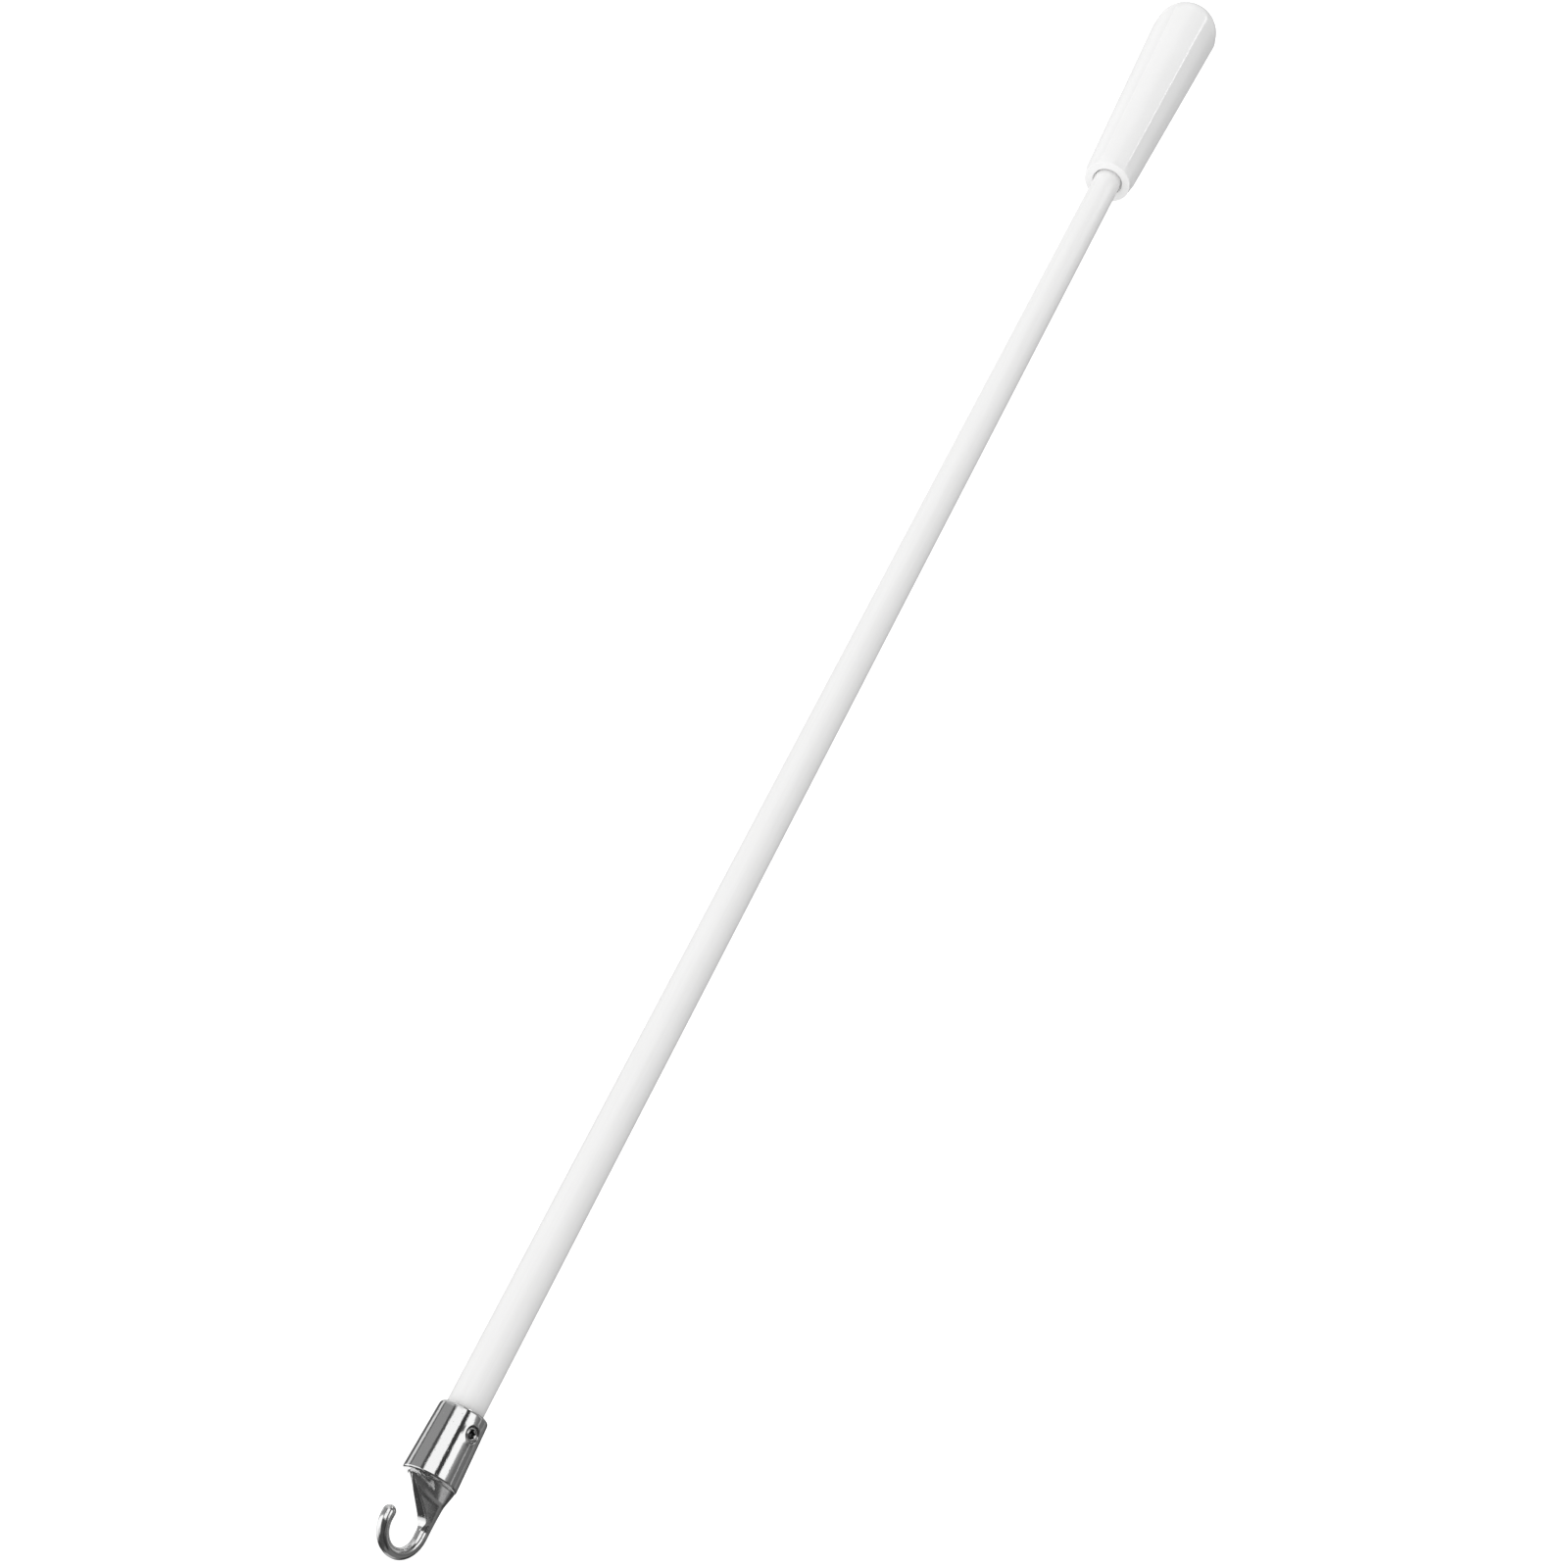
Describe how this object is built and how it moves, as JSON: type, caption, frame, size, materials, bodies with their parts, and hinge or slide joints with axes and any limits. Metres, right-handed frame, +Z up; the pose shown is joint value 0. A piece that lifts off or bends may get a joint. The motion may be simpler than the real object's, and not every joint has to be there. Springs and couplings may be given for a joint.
{
  "type": "curtain wand",
  "caption": "Straight white pull wand for a curtain: a round rod with a tapered faceted hand grip on one end and a cast hook ferrule on the other.",
  "frame": {"origin": "centre of the hook's eye; the ferrule's axis stands 0.3 mm off it towards -X", "axes": "+Z up along the hanging wand, from the grip to the hook; the eye lies in the XZ plane and opens towards +X; a carrier's ring passes through it along Y"},
  "size_m": [0.0236, 0.0229, 0.612],
  "materials": {
    "hook": "bright plated zinc casting",
    "rod": "satin white fibreglass",
    "grip": "glossy moulded white",
    "screw": "bright steel"
  },
  "bodies": {
    "hook": {"hook_ferrule": "hook"},
    "wand": {"rod": "rod", "grip": "grip"},
    "screw": {"set_screw": "screw"}
  },
  "joints": [
    {"name": "wand_turn", "type": "hinge", "parent": "hook", "child": "wand", "pos_m": [-0.0003, 0.00035, -0.0215], "axis": [0, 0, 1], "continuous": true},
    {"name": "set_screw_turn", "type": "hinge", "parent": "hook", "child": "screw", "pos_m": [-0.0003, 0, -0.02395], "axis": [0, -1, 0], "range_deg": [0, 720]}
  ]
}
